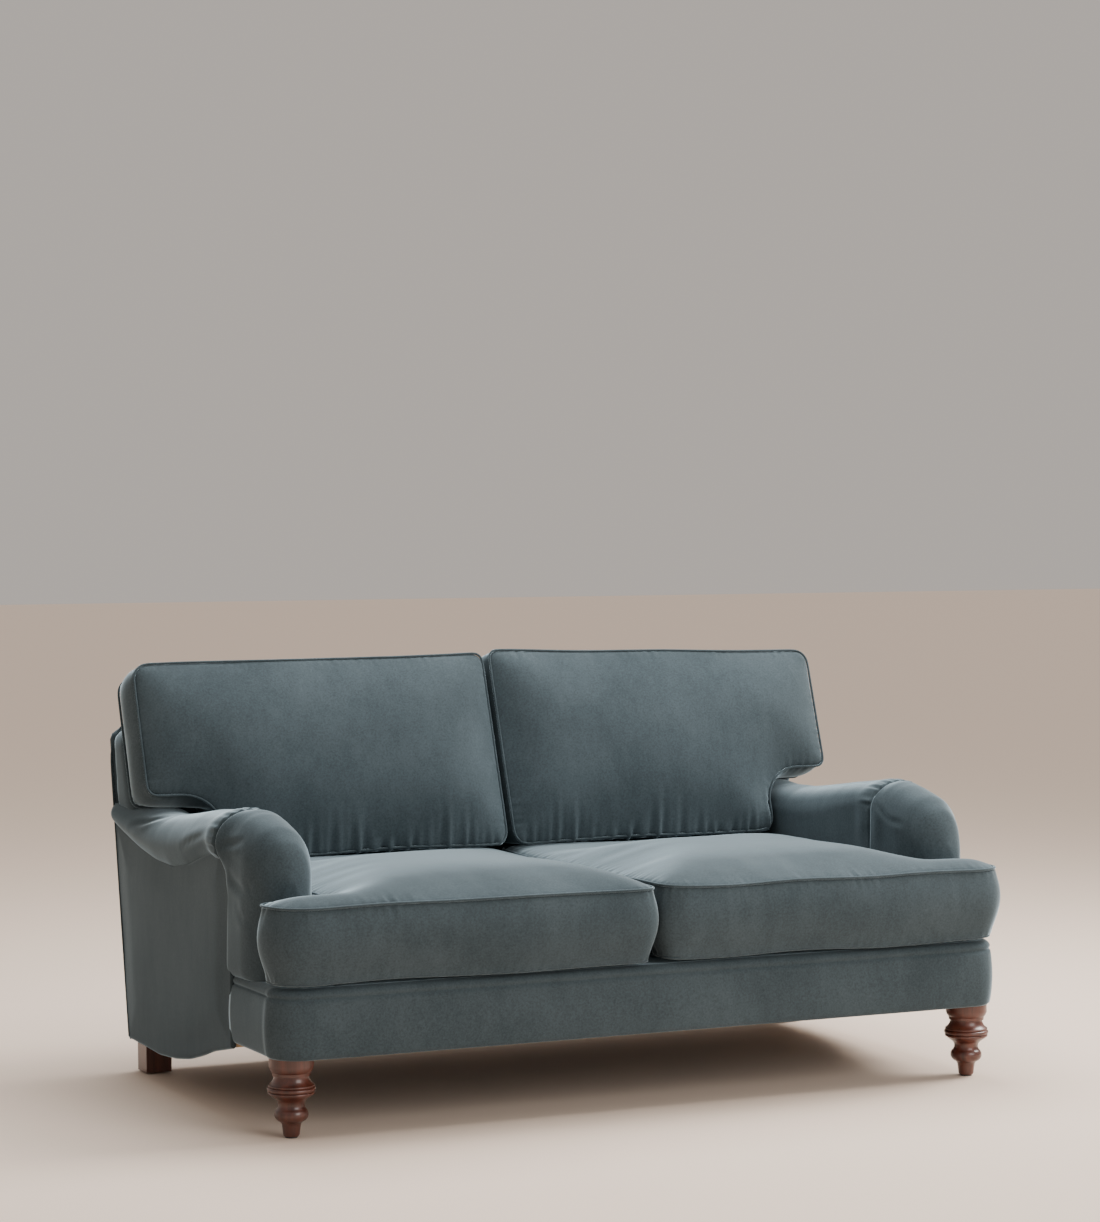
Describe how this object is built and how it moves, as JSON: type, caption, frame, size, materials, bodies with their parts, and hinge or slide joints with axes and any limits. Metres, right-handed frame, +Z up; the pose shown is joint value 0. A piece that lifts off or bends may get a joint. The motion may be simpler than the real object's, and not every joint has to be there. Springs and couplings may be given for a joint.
{
  "type": "two-seat sofa",
  "caption": "Two-seat sofa with low rolled arms set back behind the seat, loose seat and back cushions with ears, turned wooden front legs and square rear legs.",
  "frame": {"origin": "on the floor, at the middle of the sofa's width and depth", "axes": "+X along the sofa to the viewer's right, -Y is the front that one sits down from, +Z up"},
  "size_m": [1.6684, 1.08, 0.878],
  "materials": {
    "velvet": "slate blue cotton velvet, short pile",
    "stained_wood": "red-brown stain, satin lacquer",
    "wood_frame": "planed hardwood and plywood, unfinished",
    "steel": "zinc plated",
    "nylon": "moulded nylon",
    "webbing": "woven elastic webbing",
    "felt": "bonded felt and black liner",
    "foam": "upholstery foam",
    "filling": "feather and foam filling in a ticking"
  },
  "bodies": {
    "frame": {"seat_rail_front": "wood_frame", "seat_rail_back": "wood_frame", "seat_rail_left": "wood_frame", "seat_rail_right": "wood_frame", "seat_cross_rail": "wood_frame", "leg_block_left": "wood_frame", "leg_block_right": "wood_frame", "back_post_left": "wood_frame", "back_post_right": "wood_frame", "back_upright": "wood_frame", "back_top_rail": "wood_frame", "back_tuck_rails": "wood_frame", "arm_post_left": "wood_frame", "arm_post_right": "wood_frame", "arm_board_left": "wood_frame", "arm_board_right": "wood_frame", "side_ply_left": "wood_frame", "side_ply_right": "wood_frame", "front_leg_left": "stained_wood", "front_leg_right": "stained_wood", "rear_leg_left": "stained_wood", "rear_leg_right": "stained_wood", "leg_bolts": "steel", "leg_inserts": "steel", "arm_bolts": "steel", "arm_bolt_nuts": "steel", "seat_springs": "steel", "spring_clips": "steel", "leg_glides": "nylon", "back_webbing": "webbing", "spring_felt": "felt", "dust_cover": "felt", "deck_pad": "foam", "edge_roll": "foam", "border_front": "velvet", "border_side_left": "velvet", "border_side_right": "velvet", "arm_roll_left": "velvet", "arm_roll_right": "velvet", "arm_front_left": "velvet", "arm_front_right": "velvet", "inner_arm_left": "velvet", "inner_arm_right": "velvet", "side_cover_left": "velvet", "side_cover_right": "velvet", "shoulder_cover_left": "velvet", "shoulder_cover_right": "velvet", "back_inner_pad": "velvet", "back_outer_cover": "velvet"},
    "seat_cushion_left": {"seat_cushion_cover_left": "velvet", "seat_cushion_core_left": "filling"},
    "seat_cushion_right": {"seat_cushion_cover_right": "velvet", "seat_cushion_core_right": "filling"},
    "back_cushion_left": {"back_cushion_cover_left": "velvet", "back_cushion_core_left": "filling"},
    "back_cushion_right": {"back_cushion_cover_right": "velvet", "back_cushion_core_right": "filling"}
  },
  "joints": [
    {"name": "seat_cushion_left_slide", "type": "slide", "parent": "frame", "child": "seat_cushion_left", "axis": [0, -1, 0], "range_m": [0, 0.3]},
    {"name": "seat_cushion_right_slide", "type": "slide", "parent": "frame", "child": "seat_cushion_right", "axis": [0, -1, 0], "range_m": [0, 0.3]},
    {"name": "back_cushion_left_lift", "type": "slide", "parent": "frame", "child": "back_cushion_left", "axis": [0, 0.309, 0.9511], "range_m": [0, 0.3]},
    {"name": "back_cushion_right_lift", "type": "slide", "parent": "frame", "child": "back_cushion_right", "axis": [0, 0.309, 0.9511], "range_m": [0, 0.3]}
  ]
}
